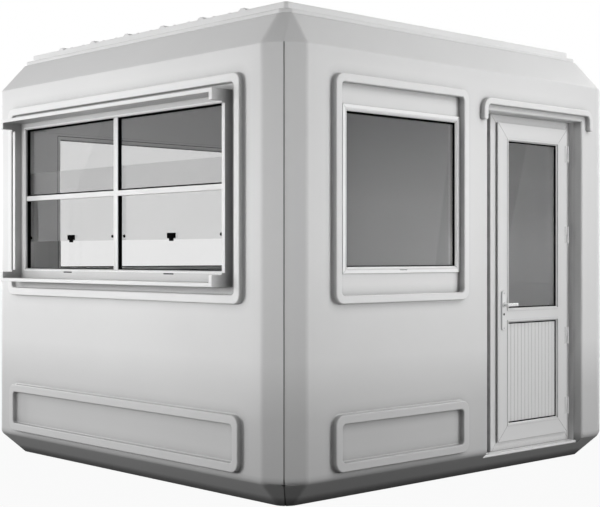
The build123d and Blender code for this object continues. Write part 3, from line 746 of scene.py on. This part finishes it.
def roof_disc(bm, x, y, radius, z0, z1, sides):
    turn = 2.0 * math.pi / sides
    spots = [(x + radius * math.cos(turn * k), y + radius * math.sin(turn * k)) for k in range(sides)]
    rims = []
    for z in (z0, z1):
        rims.append([bm.verts.new(Vector((px, py, z)) * MM) for px, py in spots])
        bm.faces.new(rims[-1])
    for i in range(sides):
        j = (i + 1) % sides
        bm.faces.new((rims[0][i], rims[0][j], rims[1][j], rims[1][i]))


bm, washers, bolts = bmesh.new(), bmesh.new(), bmesh.new()
for step in range(-3, 4):
    valley = step * RIB_PITCH
    long = 1158.0 if abs(step) < 3 else 1092.0
    for off in (-62.0, 62.0):
        roof_box(bm, valley + off, 11.0, 6.0, long, SHEET_TOP - 1.0, SHEET_TOP + 3.5)
    for y in (-1060.0, -530.0, 0.0, 530.0, 1060.0):
        roof_disc(washers, valley, y, 10.0, SHEET_TOP - 1.0, SHEET_TOP + 1.8, 20)
        roof_disc(bolts, valley, y, 5.5, SHEET_TOP, SHEET_TOP + 7.0, 6)
piece("roof_swages", bm, "roof", CABIN, 0.8)
piece("roof_washers", washers, "black", CABIN, 0.5)
piece("roof_screw_heads", bolts, "screw", CABIN, 0.6)

# Floor covering.
FLOOR_TOP = 97.0
outline = [
    (-1285, -1110), (-1110, -1285), (1010, -1285), (1172, -1120),
    (1172, 1120), (1010, 1285), (-1110, 1285), (-1285, 1110),
]
bm = bmesh.new()
rims = []
for z in (FLOOR_TOP - 0.5, FLOOR_TOP + 2.5):
    rims.append([bm.verts.new(Vector((x, y, z)) * MM) for x, y in outline])
    bm.faces.new(rims[-1])
for i in range(len(outline)):
    j = (i + 1) % len(outline)
    bm.faces.new((rims[0][i], rims[0][j], rims[1][j], rims[1][i]))
piece("floor_covering", bm, "vinyl", CABIN, 1.0)

# Floor, world and lamps.
FLOOR_HALF = 40.0
bm = bmesh.new()
bmesh.ops.create_grid(bm, x_segments=2, y_segments=2, size=FLOOR_HALF)
floor_mesh = bpy.data.meshes.new("floor")
bm.to_mesh(floor_mesh)
bm.free()
floor = bpy.data.objects.new("floor", floor_mesh)
scene.collection.objects.link(floor)


def seen_directly(nt):
    """1 for camera, mirror and see-through rays, 0 for the rays that light the object."""
    path = add(nt, "ShaderNodeLightPath")
    first = add(nt, "ShaderNodeMath", operation="MAXIMUM")
    both = add(nt, "ShaderNodeMath", operation="MAXIMUM")
    nt.links.new(path.outputs["Is Camera Ray"], first.inputs[0])
    nt.links.new(path.outputs["Is Glossy Ray"], first.inputs[1])
    nt.links.new(first.outputs[0], both.inputs[0])
    nt.links.new(path.outputs["Is Transmission Ray"], both.inputs[1])
    return both.outputs[0]


FLOOR_WHITE = 0.95
mat, nt, bsdf = tree("floor")
bsdf.inputs["Base Color"].default_value = (0.07, 0.07, 0.07, 1.0)
bsdf.inputs["Roughness"].default_value = 1.0
bsdf.inputs["Specular IOR Level"].default_value = 0.0
pale = add(nt, "ShaderNodeEmission")
share = add(nt, "ShaderNodeMath", operation="MULTIPLY")
share.inputs[1].default_value = FLOOR_WHITE
nt.links.new(seen_directly(nt), share.inputs[0])
mix = add(nt, "ShaderNodeMixShader")
nt.links.new(share.outputs[0], mix.inputs["Fac"])
nt.links.new(bsdf.outputs[0], mix.inputs[1])
nt.links.new(pale.outputs[0], mix.inputs[2])
nt.links.new(mix.outputs[0], nt.nodes["Material Output"].inputs["Surface"])
floor_mesh.materials.append(mat)

AMBIENT = 0.03
world = bpy.data.worlds.new("studio")
world.use_nodes = True
scene.world = world
nt = world.node_tree
back = nt.nodes["Background"]
back.inputs["Color"].default_value = (1.0, 1.0, 1.0, 1.0)
level = add(nt, "ShaderNodeMapRange")
level.inputs["To Min"].default_value = AMBIENT
level.inputs["To Max"].default_value = 1.0
nt.links.new(seen_directly(nt), level.inputs["Value"])
nt.links.new(level.outputs["Result"], back.inputs["Strength"])


def softbox(name, at, target, wide, tall, watts, spread=180.0):
    data = bpy.data.lights.new(name, "AREA")
    data.shape = "RECTANGLE"
    data.size = wide
    data.size_y = tall
    data.energy = watts
    data.spread = math.radians(spread)
    obj = bpy.data.objects.new(name, data)
    obj.location = at
    aim = Vector(target) - Vector(at)
    obj.rotation_euler = aim.to_track_quat("-Z", "Y").to_euler()
    obj.visible_camera = False
    scene.collection.objects.link(obj)


# Wide lamps light the walls, bands their middles and high ones the cornice; the back pair is for the far sides.
softbox("front_wide", (-2.0, -6.5, 1.7), (0.8, -1.35, 1.5), 2.4, 1.6, 156.0)
softbox("front_middle", (0.6, -6.6, 1.6), (0.0, -1.35, 1.4), 2.4, 1.6, 68.0)
softbox("front_high", (0.0, -3.0, 5.0), (0.0, -1.35, 1.5), 2.6, 1.0, 16.0)
softbox("front_band", (-1.15, -5.35, 1.2), (0.9, -1.35, 1.4), 2.5, 0.6, 2.6, 35.0)
softbox("front_side", (-6.5, -2.4, 1.8), (0.3, -1.35, 1.6), 1.5, 1.5, 196.0)
softbox("right_wide", (6.5, 2.0, 1.7), (1.35, -0.8, 1.5), 2.4, 1.6, 126.0)
softbox("right_middle", (6.6, -0.6, 1.6), (1.35, 0.0, 1.4), 2.4, 1.6, 40.0)
softbox("right_high", (4.6, 1.15, 4.2), (1.35, -0.3, 1.4), 2.5, 1.5, 60.0)
softbox("right_band", (5.35, 1.15, 1.2), (1.35, -0.9, 1.4), 2.5, 0.6, 2.0, 35.0)
softbox("back_high", (1.6, 5.2, 4.0), (0.0, 1.35, 1.3), 2.5, 1.5, 80.0)
softbox("left_high", (-5.2, 1.6, 4.0), (-1.35, 0.0, 1.3), 2.5, 1.5, 80.0)
